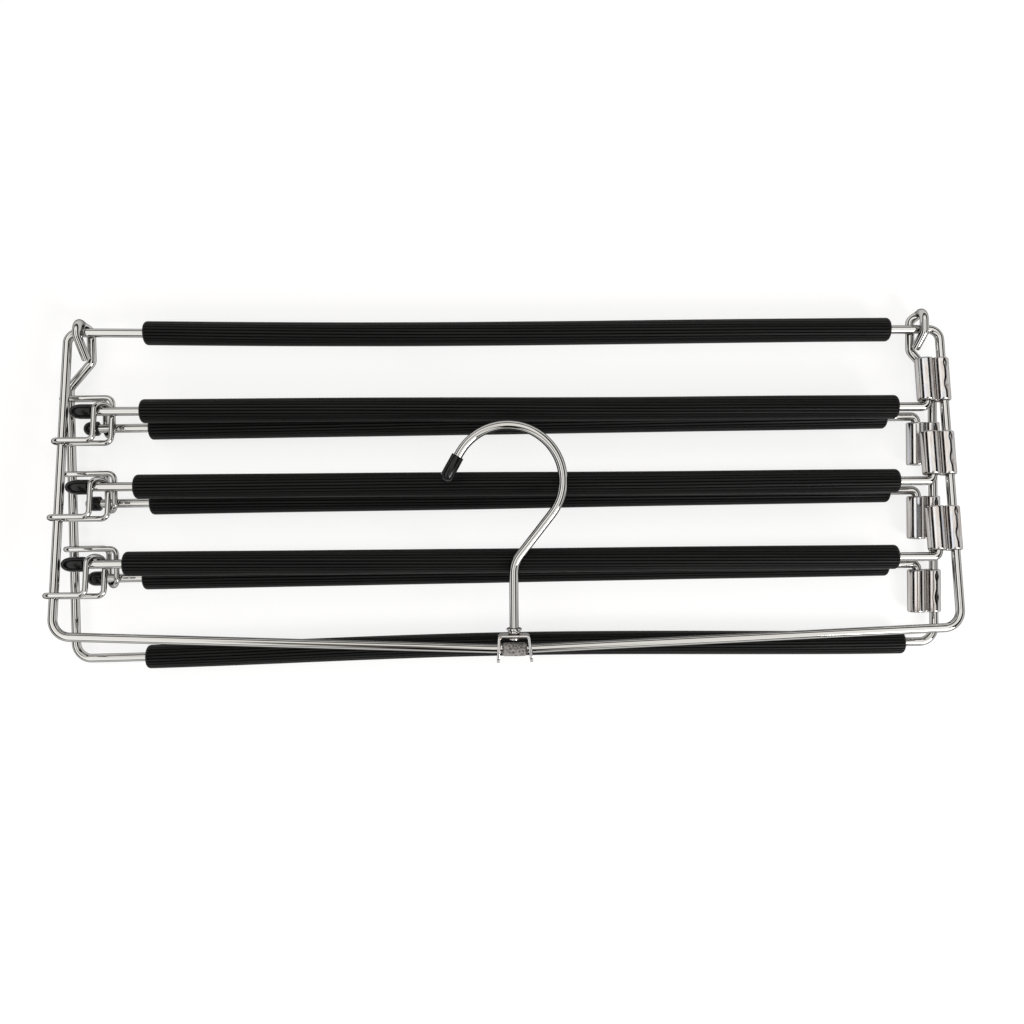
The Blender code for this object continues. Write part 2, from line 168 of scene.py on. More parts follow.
def makeZinc():
    look = zincLook
    material, tree, shader = newMaterial("castZinc", Metallic=look["metallic"], Roughness=look["roughness"])
    spot = addNode(tree, "ShaderNodeTexCoord").outputs["Object"]
    grain = addNode(tree, "ShaderNodeTexNoise", {
        "Vector": spot, "Scale": perMm(look["grain"]), "Detail": 3.0})
    pits = addNode(tree, "ShaderNodeTexVoronoi", {"Vector": spot, "Scale": perMm(look["pit"])})
    both = addNode(tree, "ShaderNodeMath", {0: grain.outputs["Fac"], 1: pits.outputs["Distance"]},
                   operation="MULTIPLY")
    tone = addNode(tree, "ShaderNodeValToRGB", {"Fac": both.outputs["Value"]}, stops=look["tone"])
    bump = addNode(tree, "ShaderNodeBump", {
        "Height": both.outputs["Value"], "Strength": look["grainDepth"],
        "Distance": look["grainHeight"] * mm})
    tree.links.new(tone.outputs["Color"], shader.inputs["Base Color"])
    tree.links.new(bump.outputs["Normal"], shader.inputs["Normal"])
    return material


# extruded EVA foam sleeve: matt black, fine closed cells, faint lines drawn along it by the die
foamLook = {"tone": [(0.34, "#050505"), (0.68, "#141413")], "specular": 0.2, "lineWide": 0.9, "lineLong": 60.0,
            "lineLow": 0.3, "lineHigh": 0.7, "cell": 0.35, "cellHeight": 0.03, "cellDepth": 0.5,
            "roughLow": 0.42, "roughHigh": 0.6}


def makeFoamMaterial():
    look = foamLook
    material, tree, shader = newMaterial("evaFoam", Specular_IOR_Level=look["specular"])
    spot = addNode(tree, "ShaderNodeTexCoord").outputs["Object"]
    wide, along = perMm(look["lineWide"]), perMm(look["lineLong"])
    stretched = addNode(tree, "ShaderNodeMapping", {"Vector": spot, "Scale": (along, wide, wide)})
    lines = addNode(tree, "ShaderNodeTexNoise", {
        "Vector": stretched.outputs["Vector"], "Scale": 1.0, "Detail": 3.0})
    cells = addNode(tree, "ShaderNodeTexNoise", {
        "Vector": spot, "Scale": perMm(look["cell"]), "Detail": 2.0})
    tone = addNode(tree, "ShaderNodeValToRGB", {"Fac": lines.outputs["Fac"]}, stops=look["tone"])
    rough = addNode(tree, "ShaderNodeMapRange", {
        "Value": lines.outputs["Fac"], "From Min": look["lineLow"], "From Max": look["lineHigh"],
        "To Min": look["roughHigh"], "To Max": look["roughLow"]})
    bump = addNode(tree, "ShaderNodeBump", {
        "Height": cells.outputs["Fac"], "Strength": look["cellDepth"], "Distance": look["cellHeight"] * mm})
    tree.links.new(tone.outputs["Color"], shader.inputs["Base Color"])
    tree.links.new(rough.outputs["Result"], shader.inputs["Roughness"])
    tree.links.new(bump.outputs["Normal"], shader.inputs["Normal"])
    return material


# dip-moulded soft PVC: black, half gloss, slight orange peel
rubberLook = {"tone": [(0.0, "#040404"), (1.0, "#0a0a0a")], "specular": 0.3, "mottle": 2.5, "mottleLow": 0.3,
              "mottleHigh": 0.7, "peel": 0.9, "peelHeight": 0.03, "peelDepth": 0.4,
              "roughLow": 0.16, "roughHigh": 0.28}


def makeRubber():
    look = rubberLook
    material, tree, shader = newMaterial("dippedPvc", Specular_IOR_Level=look["specular"])
    spot = addNode(tree, "ShaderNodeTexCoord").outputs["Object"]
    mottle = addNode(tree, "ShaderNodeTexNoise", {
        "Vector": spot, "Scale": perMm(look["mottle"]), "Detail": 3.0})
    peel = addNode(tree, "ShaderNodeTexNoise", {
        "Vector": spot, "Scale": perMm(look["peel"]), "Detail": 1.0})
    tone = addNode(tree, "ShaderNodeValToRGB", {"Fac": mottle.outputs["Fac"]}, stops=look["tone"])
    rough = addNode(tree, "ShaderNodeMapRange", {
        "Value": mottle.outputs["Fac"], "From Min": look["mottleLow"], "From Max": look["mottleHigh"],
        "To Min": look["roughLow"], "To Max": look["roughHigh"]})
    bump = addNode(tree, "ShaderNodeBump", {
        "Height": peel.outputs["Fac"], "Strength": look["peelDepth"], "Distance": look["peelHeight"] * mm})
    tree.links.new(tone.outputs["Color"], shader.inputs["Base Color"])
    tree.links.new(rough.outputs["Result"], shader.inputs["Roughness"])
    tree.links.new(bump.outputs["Normal"], shader.inputs["Normal"])
    return material


chrome, sheet, zinc = makeChrome(), makeSheet(), makeZinc()
foam, rubber = makeFoamMaterial(), makeRubber()
print("materials made")

# each sub-assembly has its own axes in mm: x along the bars, y up to the hinge bar, z out of the frame
joints = {joint["name"]: joint for joint in frame["joints"]}
foldAt = Vector(joints["fold"]["pos_m"])
tiltAt = Vector(joints["hook_tilt"]["pos_m"])
frontUp = Vector(joints["front_swing_1"]["axis"])
rearUp = -Vector(joints["rear_swing_1"]["axis"])
hookUp = Vector(joints["hook_swivel"]["axis"])
rearShift = Vector((-1.5, 0.0, -4.2))  # the rear frame hangs behind the hinge bar, a little to the left


def ownAxes(origin, along, up):
    x, y = along.normalized(), up.normalized()
    turn = Matrix((x, y, x.cross(y))).transposed().to_4x4()
    return Matrix.Translation(origin) @ turn @ Matrix.Scale(mm, 4)


frontAxes = ownAxes(foldAt, Vector((1, 0, 0)), frontUp)
rearAxes = ownAxes(foldAt + rearShift * mm, Vector((rearUp.y, -rearUp.x, 0)), rearUp)
hookAxes = ownAxes(tiltAt, Vector((1, 0, 0)), hookUp)
turnedOver = Matrix.Rotation(math.pi, 4, "X")

stock = {"wire": 4.0, "thinWire": 2.5, "gap": 0.2, "wireSides": 24, "thinSides": 20, "bendStep": 7.0,
         "cutLong": 0.09, "cutWide": 0.84, "barSteps": 40, "sameLevel": 0.01, "weld": 0.002, "sharp": 38}
# cutLong, cutWide: rounding of a cropped end, as shares of the wire's thickness; bendStep and sharp in degrees
side = 200.0  # from the middle of a frame to its side wire
sleevePitch = 7.9  # from the side wire to an arm's leg
armDrops = {"front": [36.8, 71.3, 105.8], "rear": [41.7, 76.2, 110.7]}


def bentRoute(corners):
    # straight lengths with a round bend at each corner; a bend of 0 marks an end
    route = []
    for i, (corner, bend) in enumerate(corners):
        corner = Vector(corner)
        if not bend:
            route.append(corner)
            continue
        back = (Vector(corners[i - 1][0]) - corner).normalized()
        ahead = (Vector(corners[i + 1][0]) - corner).normalized()
        half = back.angle(ahead) / 2
        middle = corner + (back + ahead).normalized() * (bend / math.sin(half))
        first = corner + back * (bend / math.tan(half)) - middle
        last = corner + ahead * (bend / math.tan(half)) - middle
        axis, angle = first.rotation_difference(last).to_axis_angle()
        count = max(3, round(math.degrees(angle) / stock["bendStep"]))
        route += [middle + Quaternion(axis, angle * k / count) @ first for k in range(count + 1)]
    return route


def ringEdges(verts):
    inside = set(verts)
    return list(dict.fromkeys(e for v in verts for e in v.link_edges if e.other_vert(v) in inside))


def ringPlaces(route, closed=False, swell=None):
    # a ring's place at each point of the route, facing along it and carried on without twist
    count = len(route)
    headings = []
    for i, point in enumerate(route):
        before = route[i - 1] if closed or i else point
        after = route[(i + 1) % count] if closed or i + 1 < count else point
        headings.append((after - before).normalized())
    turn = Vector((0, 0, 1)).rotation_difference(headings[0])
    places = []
    for i, point in enumerate(route):
        if i:
            turn = headings[i - 1].rotation_difference(headings[i]) @ turn
        size = swell[i] if swell else 1.0
        places.append(Matrix.Translation(point) @ turn.to_matrix().to_4x4() @ Matrix.Scale(size, 4))
    return places


def drawAlong(bm, ring, places):
    # extrudes a ring from place to place and gives back the last one
    for last, place in zip(places, places[1:]):
        drawn = bmesh.ops.extrude_edge_only(bm, edges=ringEdges(ring))["geom"]
        ring = [part for part in drawn if isinstance(part, bmesh.types.BMVert)]
        bmesh.ops.transform(bm, matrix=place @ last.inverted(), verts=ring)
    return ring


def drawWire(bm, route, diameter, sides, closed=False, swell=None):
    places = ringPlaces(route, closed, swell)
    first = bmesh.ops.create_circle(bm, segments=sides, radius=diameter / 2, matrix=places[0])["verts"]
    last = drawAlong(bm, first, places)
    if closed:
        bmesh.ops.bridge_loops(bm, edges=ringEdges(first) + ringEdges(last))
    else:
        bmesh.ops.holes_fill(bm, edges=ringEdges(first) + ringEdges(last), sides=sides)


def cutEnds(route, diameter):
    # a cropped wire end has its burr rounded off
    edge = diameter * stock["cutLong"]
    first = (route[1] - route[0]).normalized() * edge
    last = (route[-2] - route[-1]).normalized() * edge
    full = [route[0], route[0] + first] + route[1:-1] + [route[-1] + last, route[-1]]
    return full, [stock["cutWide"]] + [1.0] * (len(full) - 2) + [stock["cutWide"]]


def finishPiece(bm, name, place, material, body, nodes, sharp=stock["sharp"]):
    bmesh.ops.remove_doubles(bm, verts=bm.verts, dist=stock["weld"])
    bmesh.ops.transform(bm, matrix=place, verts=bm.verts)
    bmesh.ops.recalc_face_normals(bm, faces=bm.faces)
    mesh = bpy.data.meshes.new(name)
    bm.to_mesh(mesh)
    bm.free()
    mesh.polygons.foreach_set("use_smooth", [True] * len(mesh.polygons))
    mesh.set_sharp_from_angle(angle=math.radians(sharp))
    mesh.materials.append(material)
    piece = bpy.data.objects.new(name, mesh)
    bpy.context.scene.collection.objects.link(piece)
    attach(piece, body)
    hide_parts(*nodes)
    return piece


# how far each long bar is bowed: mm up at the middle, and how far the bow leans to the left end
bow = {"hinge": (-1.3, 0.25), "bottom": (2.8, 0.0)}


def bowAt(bar, x):
    rise, lean = bow[bar]
    share = min(1.0, max(0.0, 0.5 + x / (2 * side)))
    return rise * math.sin(math.pi * share ** (1 - lean)) ** 2


def longBar(route, level, bar):
    # cuts the straight bar at this level into short lengths and bows them
    def onBar(point):
        return abs(point.y - level) < stock["sameLevel"]

    full, steps = [route[0]], stock["barSteps"]
    for last, point in zip(route, route[1:]):
        if onBar(last) and onBar(point) and (point - last).length > 2 * stock["wire"]:
            full += [last.lerp(point, i / steps) for i in range(1, steps)]
        full.append(point)
    return [point + Vector((0, bowAt(bar, point.x), 0)) if onBar(point) else point for point in full]


frontFrame = {"drop": 137.3, "sag": 7.3, "topBend": 5.0, "lowBend": 8.0, "level": 9.4, "levelBend": 20.0,
              "jointShift": 1.3}


def makeFrontFrame():
    # from the joint block along the shallow V, round the frame and back
    f = frontFrame
    low = -f["drop"] - f["sag"]
    corners = [((f["jointShift"] + stock["gap"], low, 0), 0),
               ((f["jointShift"] + f["level"], low, 0), f["levelBend"]),
               ((side, -f["drop"], 0), f["lowBend"]),
               ((side, 0, 0), f["topBend"]),
               ((-side, 0, 0), f["topBend"]),
               ((-side, -f["drop"], 0), f["lowBend"]),
               ((f["jointShift"] - f["level"], low, 0), f["levelBend"]),
               ((f["jointShift"] - stock["gap"], low, 0), 0)]
    route = longBar(bentRoute(corners), 0.0, "hinge")
    bm = bmesh.new()
    drawWire(bm, route, stock["wire"], stock["wireSides"])
    finishPiece(bm, "frontFrame", frontAxes, chrome, "front_frame", ["front_frame_wire"])


rearFrame = {"drop": 147.5, "bend": 7.0, "eyeOuter": 193.0, "eyeSpread": 3.4, "eyeTail": 10.6, "tailStep": 0.9,
             "tailBend": 1.6, "spreadFrom": 0.6, "kinkTop": 11.2, "kinkLong": 11.8, "skew": 0.51,
             "smallBend": 3.6, "eyeSnug": 0.05, "eyeSteps": 24}
# tailStep: how far the tail's end lies outside the inner leg; tailBend: where it bends, below the bar's middle
# spreadFrom: share of the turn after which the eye spreads


def eyeRoute(hand):
    # from the tail in front of the hinge bar, up over it, down behind it and out to the side wire
    f, depth = rearFrame, -rearShift.z
    inner = f["eyeOuter"] - f["eyeSpread"]
    rise = f["eyeOuter"] * math.sin(math.radians(f["skew"]))
    tailDepth = math.sqrt(depth ** 2 - f["tailStep"] ** 2)
    route = bentRoute([((hand * (inner + f["tailStep"]), -f["eyeTail"], tailDepth), 0),
                       ((hand * f["eyeOuter"], -hand * rise - f["tailBend"], 2 * depth), f["smallBend"]),
                       ((hand * f["eyeOuter"], rise, 2 * depth), 0)])[:-1]
    for i in range(f["eyeSteps"] + 1):
        share = i / f["eyeSteps"]
        late = max(0.0, share - f["spreadFrom"]) / (1 - f["spreadFrom"])
        across = f["eyeOuter"] - f["eyeSpread"] * (0.5 - 0.5 * math.cos(math.pi * late))
        route.append(Vector((hand * across, rise + (depth - f["eyeSnug"]) * math.sin(math.pi * share),
                             depth * (1 + math.cos(math.pi * share)))))
    route += bentRoute([((hand * inner, rise, 0), 0),
                        ((hand * inner, -f["kinkTop"], 0), f["smallBend"]),
                        ((hand * side, -f["kinkTop"] - f["kinkLong"], 0), f["smallBend"]),
                        ((hand * side, -f["drop"], 0), 0)])[1:-1]
    return route


def makeRearFrame():
    f = rearFrame
    bottom = bentRoute([((-side, 0, 0), 0), ((-side, -f["drop"], 0), f["bend"]),
                        ((side, -f["drop"], 0), f["bend"]), ((side, 0, 0), 0)])[1:-1]
    bottom = longBar(bottom, -f["drop"], "bottom")
    route, swell = cutEnds(eyeRoute(-1) + bottom + eyeRoute(1)[::-1], stock["wire"])
    bm = bmesh.new()
    drawWire(bm, route, stock["wire"], stock["wireSides"], swell=swell)
    finishPiece(bm, "rearFrame", rearAxes, chrome, "rear_frame", ["rear_frame_wire"])


makeFrontFrame()
makeRearFrame()
print("frame wires drawn")

foamSleeve = {"diameter": 11.0, "ribs": 24, "perRib": 8, "groove": 0.6, "grooveHalf": 0.26, "endRound": 1.7,
              "roundSteps": 6, "bore": 4.7, "rings": 44, "uneven": 0.016, "unevenNoise": (38, 7.3, 0.4),
              "wander": 0.44, "wanderNoise": (150, 3.1, 5.0), "sharp": 60}
# grooveHalf: half a groove's width as a share of a rib; noises: length in mm, step from sleeve to sleeve, layer


def noiseAlong(x, seed, settings):
    length, step, layer = settings
    return noise.noise((x / length, seed * step, layer))


def makeFoam(name, left, right, place, body, node, twist, seed, bar=None):
    f = foamSleeve
    radius = f["diameter"] / 2
    bm = bmesh.new()
    ring = bmesh.ops.create_circle(bm, segments=f["ribs"] * f["perRib"], radius=radius)["verts"]
    for v in ring:  # a soft groove between each two flat-crested ribs
        turn = math.atan2(v.co.y, v.co.x) / (2 * math.pi) * f["ribs"]
        dip = max(0.0, 1 - abs(turn % 1 - 0.5) / f["grooveHalf"])
        v.co *= 1 - f["groove"] / radius * (dip * dip * (3 - 2 * dip))
    stations = [(0.0, f["bore"] / 2), (0.0, radius - f["endRound"])]
    for i in range(1, f["roundSteps"] + 1):
        a = math.pi / 2 * i / f["roundSteps"]
        stations.append((f["endRound"] * (1 - math.cos(a)), radius - f["endRound"] * (1 - math.sin(a))))
    flank = right - left - 2 * f["endRound"]
    middle = [(f["endRound"] + flank * i / f["rings"], radius) for i in range(1, f["rings"])]
    far = [(right - left - x, r) for x, r in reversed(stations)]
    places = []
    for x, r in stations + middle + far:
        share = x / (right - left)
        size = r / radius * (1 - f["uneven"] * (0.5 + 0.5 * noiseAlong(x, seed, f["unevenNoise"])))
        if bar:
            off = bowAt(bar, left + x)
        else:
            off = f["wander"] * math.sin(math.pi * share) * noiseAlong(x, seed, f["wanderNoise"])
        lay = Matrix.Translation((left + x, off, 0)) @ Matrix.Rotation(math.pi / 2, 4, "Y")
        lay = lay @ Matrix.Rotation(math.radians(twist) * (share - 0.5), 4, "Z")
        places.append(lay @ Matrix.Diagonal((size, size, 1.0, 1.0)))
    bmesh.ops.transform(bm, matrix=places[0], verts=ring)
    last = drawAlong(bm, ring, places)
    bmesh.ops.bridge_loops(bm, edges=ringEdges(ring) + ringEdges(last))
    piece = finishPiece(bm, name, place, foam, body, [node], sharp=f["sharp"])


armFoam = {"twists": {"front": [24, -14, 30], "rear": [-20, 26, 12]},
           "seeds": {"front": [1, 2, 3], "rear": [11, 12, 13]},
           "bare": {"front": [(34.5, 14.3), (33.2, 16.0), (30.0, 18.8)],
                    "rear": [(36.2, 14.6), (35.9, 13.5), (31.8, 14.3)]}}
# bare: wire left uncovered at the left, from the other side wire, and at the right
barFoam = {"hinge": {"ends": (-165.4, 176.5), "twist": 18, "seed": 5},
           "bottom": {"ends": (-167.5, 185.2), "twist": -22, "seed": 6}}

swingArm = {"bend": 2.6, "legOver": 23.0, "tipGap": 0.5, "tipNose": 3.2, "setBack": {"front": 0.0, "rear": 3.5}}


def makeArm(label, number, place, body):
    a = swingArm
    reach = 2 * side - sleevePitch - stock["wire"] / 2 - a["tipGap"]
    end = a["setBack"][label] + a["tipNose"] + stock["gap"] - reach
    corners = [((0, a["legOver"], 0), 0), ((0, 0, 0), a["bend"]), ((end, 0, 0), 0)]
    route, swell = cutEnds(bentRoute(corners), stock["wire"])
    bm = bmesh.new()
    drawWire(bm, route, stock["wire"], stock["wireSides"], swell=swell)
    finishPiece(bm, f"{label}Arm{number}", place, chrome, body, [f"{label}_arm_{number}"])
    return reach


rubberTip = {"diameter": 6.8, "length": 10.45, "nose": 5.6, "noseSteps": 9, "blunt": 0.8, "mouthRound": 0.6,
             "mouthSteps": 4, "bore": 4.3, "boreDepth": 7.1, "steps": 32, "weld": 0.01}
shortTip = {**rubberTip, "length": 6.95, "nose": 3.9, "boreDepth": 3.6}


def turnCap(cap):
    # profile from the nose to the mouth and into the bore, turned about z
    radius, flank = cap["diameter"] / 2, cap["length"] - cap["nose"]
    profile = []
    for i in range(cap["noseSteps"] + 1):
        a = math.pi / 2 * (1 - i / cap["noseSteps"])
        profile.append((radius * math.cos(a) ** cap["blunt"], flank + cap["nose"] * math.sin(a)))
    lip = cap["mouthRound"]
    for i in range(1, cap["mouthSteps"] + 1):
        a = math.pi / 2 * i / cap["mouthSteps"]
        profile.append((radius - lip * (1 - math.cos(a)), lip * (1 - math.sin(a))))
    profile += [(cap["bore"] / 2, 0.0), (cap["bore"] / 2, cap["boreDepth"]), (0.0, cap["boreDepth"])]
    bm = bmesh.new()
    verts = [bm.verts.new((r, 0, z)) for r, z in profile]
    edges = [bm.edges.new(pair) for pair in zip(verts, verts[1:])]
    bmesh.ops.spin(bm, geom=verts + edges, cent=(0, 0, 0), axis=(0, 0, 1), angle=2 * math.pi,
                   steps=cap["steps"], use_merge=True)
    bmesh.ops.remove_doubles(bm, verts=bm.verts, dist=cap["weld"])
    return bm


twinSleeve = {"length": 20.0, "web": 1.4, "tubes": [(-0.7, 3.8), (-8.2, 4.1)], "bore": 2.2, "steps": 32,
              "rows": 36, "rim": [(0.0, 0.75), (0.1, 0.42), (0.3, 0.17), (0.6, 0.04), (0.9, 0.0)],
              "dents": [(17.0, 84.0, 2.2, 0.34), (7.2, 80.0, 3.9, 0.42),
                        (12.8, 276.0, 3.9, 0.42), (3.2, 274.0, 2.2, 0.34)],
              "dentsFrom": -2.6, "dentTaper": 1.7}
# tubes: middle and radius, round the side wire and round the arm's leg; web: half the waist's thickness
# rim: rounding of the cut edge, distance from the end and how far in
# dents: height up the sleeve, angle, size and depth; dentsFrom: x that keeps them on the side wire's tube
# dentTaper: how much taller than wide they are


def makeSleeve(label, number, place):
    # one strip rolled round both wires: a waisted outline drawn up the sleeve, with two bores
    s = twinSleeve
    bm = bmesh.new()
    end, start = [], None
    for (middle, radius), way in zip(s["tubes"], (-1, 1)):
        web = math.asin(s["web"] / radius)
        waist = Vector((middle + way * radius * math.cos(web), 0, -way * s["web"]))
        if end:
            end = bmesh.ops.extrude_vert_indiv(bm, verts=end)["verts"]
            bmesh.ops.translate(bm, verts=end, vec=waist - end[0].co)
        else:
            start = bm.verts.new(waist)
            end = [start]
        turned = bmesh.ops.spin(bm, geom=end, cent=(middle, 0, 0), axis=(0, 1, 0), angle=2 * math.pi - 2 * web,
                                steps=s["steps"])
        end = [part for part in turned["geom_last"] if isinstance(part, bmesh.types.BMVert)]
    bm.edges.new((end[0], start))
    outline = list(bm.verts)
    stations = s["rim"] + [(s["length"] * i / s["rows"], 0.0) for i in range(2, s["rows"] - 1)]
    stations += [(s["length"] - y, inset) for y, inset in reversed(s["rim"])]
    right, left = sum(s["tubes"][0]), s["tubes"][1][0] - s["tubes"][1][1]
    centre = Matrix.Translation(((right + left) / 2, 0, 0))
    wide, high = (right - left) / 2, s["tubes"][0][1]
    places = []
    for y, inset in stations:
        narrow = Matrix.Diagonal((1 - inset / wide, 1.0, 1 - inset / high, 1.0))
        places.append(Matrix.Translation((0, y, 0)) @ centre @ narrow @ centre.inverted())
    bmesh.ops.transform(bm, matrix=places[0], verts=outline)
    feet, heads = [outline], [drawAlong(bm, outline, places)]
    for v in bm.verts:
        if v.co.x < s["dentsFrom"]:
            continue
        turn = math.degrees(math.atan2(v.co.z, v.co.x)) % 360
        for height, angle, size, depth in s["dents"]:
            around = math.radians((turn - angle + 180) % 360 - 180) * high * s["dentTaper"]
            off = math.hypot(v.co.y - height, around)
            if off < size:
                push = 1 - depth / high * (1 - (off / size) ** 2) ** 2
                v.co.x, v.co.z = v.co.x * push, v.co.z * push
    for middle in (0.0, -sleevePitch):
        lay = Matrix.Translation((middle, 0, 0)) @ Matrix.Rotation(math.pi / 2, 4, "X")
        bore = bmesh.ops.create_circle(bm, segments=s["steps"], radius=s["bore"], matrix=lay)["verts"]
        feet.append(bore)
        heads.append(drawAlong(bm, bore, [lay, Matrix.Translation((0, s["length"], 0)) @ lay]))
    for rings in (feet, heads):
        edges = [e for ring in rings for e in ringEdges(ring)]
        bmesh.ops.triangle_fill(bm, edges=edges, use_beauty=True, use_dissolve=False)
    body = f"{label}_frame"
    finishPiece(bm, f"{label}Sleeve{number}", place, sheet, body, [f"{label}_sleeve_{number}"])


armCatch = {"lift": 13.8, "reach": 14.7, "stagger": 5.7, "corner": 2.8, "turn": 3.38, "steps": 18}


def makeCatch(label, number, place):
    # closed loop of thin wire: round the side wire, along, up and over the arm, and back behind
    c = armCatch
    top, near, far, turn = -c["lift"], c["reach"], c["reach"] + c["stagger"], c["turn"]
    route = []
    for i in range(c["steps"] + 1):
        a = math.pi * i / c["steps"]
        route.append(Vector((-turn * math.sin(a), top, -turn * math.cos(a))))
    route += bentRoute([((0, top, turn), 0), ((near, top, turn), c["corner"]), ((near, 0, turn), 0)])[1:-1]
    for i in range(c["steps"] + 1):
        a = math.pi * i / c["steps"]
        across = near + (far - near) * (0.5 - 0.5 * math.cos(a))
        route.append(Vector((across, turn * math.sin(a), turn * math.cos(a))))
    route += bentRoute([((far, 0, -turn), 0), ((far, top, -turn), c["corner"]), ((0, top, -turn), 0)])[1:-1]
    bm = bmesh.new()
    drawWire(bm, route, stock["thinWire"], stock["thinSides"], closed=True)
    body = f"{label}_frame"
    finishPiece(bm, f"{label}Catch{number}", place, chrome, body, [f"{label}_catch_{number}"])


bottomAxes = rearAxes @ Matrix.Translation((0, -rearFrame["drop"], 0))
for name, place, body in (("hinge", frontAxes, "front_frame"), ("bottom", bottomAxes, "rear_frame")):
    f = barFoam[name]
    makeFoam(f"{name}Foam", *f["ends"], place, body, f"{name}_bar_foam", f["twist"], f["seed"], name)

for label, axes, flip in (("front", frontAxes, Matrix.Identity(4)), ("rear", rearAxes, turnedOver)):
    cap = rubberTip if label == "front" else shortTip
    for number, drop in enumerate(armDrops[label], 1):
        body = f"{label}_swing_arm_{number}"
        armPlace = axes @ Matrix.Translation((side - sleevePitch, -drop, 0)) @ flip
        reach = makeArm(label, number, armPlace, body)
        left, right = armFoam["bare"][label][number - 1]
        ends = left - 2 * side + sleevePitch, -right
        makeFoam(f"{label}Foam{number}", *ends, armPlace, body, f"{label}_foam_{number}",
                 armFoam["twists"][label][number - 1], armFoam["seeds"][label][number - 1])
        mouth = Matrix.Translation((rubberTip["length"] - reach, 0, 0)) @ Matrix.Rotation(-math.pi / 2, 4, "Y")
        finishPiece(turnCap(cap), f"{label}Tip{number}", armPlace @ mouth, rubber, body,
                    [f"{label}_tip_{number}"])
        sleeveFoot = Matrix.Translation((0, swingArm["bend"] + stock["gap"], 0))
        makeSleeve(label, number, axes @ Matrix.Translation((side, -drop, 0)) @ flip @ sleeveFoot)
        makeCatch(label, number, axes @ Matrix.Translation((-side, -drop, 0)) @ flip)
print("arms, foam, tips, sleeves and catches made")

jointBlock = {"size": (12.1, 6.0, 5.6), "round": 2.1, "roundSteps": 4, "cuts": 3, "rough": 0.13, "grain": 0.9,
              "off": (0.15, -0.4), "sharp": 80}


def makeJointBlock():
    # cast ferrule over the two ends of the front wire
    b = jointBlock
    bm = bmesh.new()
    bmesh.ops.create_cube(bm, size=1.0, matrix=Matrix.Diagonal((*b["size"], 1.0)))
    bmesh.ops.bevel(bm, geom=bm.edges[:], offset=b["round"], segments=b["roundSteps"], profile=0.5,
                    affect="EDGES", material=-1)
    bmesh.ops.subdivide_edges(bm, edges=bm.edges[:], cuts=b["cuts"], use_grid_fill=True)
    bmesh.ops.recalc_face_normals(bm, faces=bm.faces)
    bm.normal_update()
    for v in bm.verts:
        v.co -= v.normal * b["rough"] * (0.5 + 0.5 * noise.noise(v.co / b["grain"]))
    right, up = b["off"]
    low = frontFrame["drop"] + frontFrame["sag"]
    place = frontAxes @ Matrix.Translation((frontFrame["jointShift"] + right, up - low, 0))
    finishPiece(bm, "jointBlock", place, zinc, "front_frame", ["wire_joint"], sharp=b["sharp"])


hookSaddle = {"feet": ((-7.7, -6.0), (8.2, -5.7)), "roof": (-7.1, 6.9), "depth": 8.0, "sheet": 1.2, "rise": 6.3,
              "bend": 2.0, "footRound": 3.2, "footSteps": 6, "rim": 0.25, "rimSteps": 2, "rimAngle": 70,
              "bore": 4.4, "boreSides": 32, "drillOver": 3}
# feet: sideways and height of each tail end; roof: its left and right corner
# drillOver: the drill's length over what it goes through


def cutBore(piece, place, radius, depth, sides):
    drill = bmesh.new()
    bmesh.ops.create_cone(drill, cap_ends=True, segments=sides, radius1=radius, radius2=radius, depth=depth,
                          matrix=place)
    drillMesh = bpy.data.meshes.new("drill")
    drill.to_mesh(drillMesh)
    drill.free()
    drillObject = bpy.data.objects.new("drill", drillMesh)
    bpy.context.scene.collection.objects.link(drillObject)
    cut = piece.modifiers.new("bore", "BOOLEAN")
    cut.object = drillObject
    bpy.context.view_layer.update()
    bored = bpy.data.meshes.new_from_object(piece.evaluated_get(bpy.context.evaluated_depsgraph_get()))
    bored.name = piece.name
    piece.modifiers.remove(cut)
    piece.data = bored
    bpy.data.objects.remove(drillObject)


def makeSaddle():
    # strip bent over the wire, with a bore across for the wire and one through the roof for the hook
    s = hookSaddle
    left, right = s["roof"]
    path = bentRoute([((*s["feet"][0], 0), 0), ((left, s["rise"], 0), s["bend"]),
                      ((right, s["rise"], 0), s["bend"]), ((*s["feet"][1], 0), 0)])
    bm = bmesh.new()
    line = [bm.verts.new(path[0] + Vector((0, 0, z))) for z in (-s["depth"] / 2, s["depth"] / 2)]
    bm.edges.new(line)
    feet = line + drawAlong(bm, line, [Matrix.Translation(point) for point in path])
    bmesh.ops.bevel(bm, geom=feet, offset=s["footRound"], segments=s["footSteps"], profile=0.5,
                    affect="VERTICES", material=-1)
    bmesh.ops.recalc_face_normals(bm, faces=bm.faces)
    bmesh.ops.solidify(bm, geom=bm.faces[:], thickness=s["sheet"])
    rimAngle = math.radians(s["rimAngle"])
    rims = [e for e in bm.edges if len(e.link_faces) == 2 and e.calc_face_angle() > rimAngle]
    bmesh.ops.bevel(bm, geom=rims, offset=s["rim"], segments=s["rimSteps"], profile=0.5,
                    affect="EDGES", material=-1)
    saddle = finishPiece(bm, "hookSaddle", hookAxes, sheet, "saddle", ["hook_saddle"])
    across = Matrix.Rotation(math.pi / 2, 4, "Y")
    through = Matrix.Translation((0, s["rise"] - s["sheet"] / 2, 0)) @ Matrix.Rotation(math.pi / 2, 4, "X")
    for lay, depth in ((across, right - left), (through, s["sheet"])):
        cutBore(saddle, hookAxes @ lay, s["bore"] / 2, s["drillOver"] * depth, s["boreSides"])


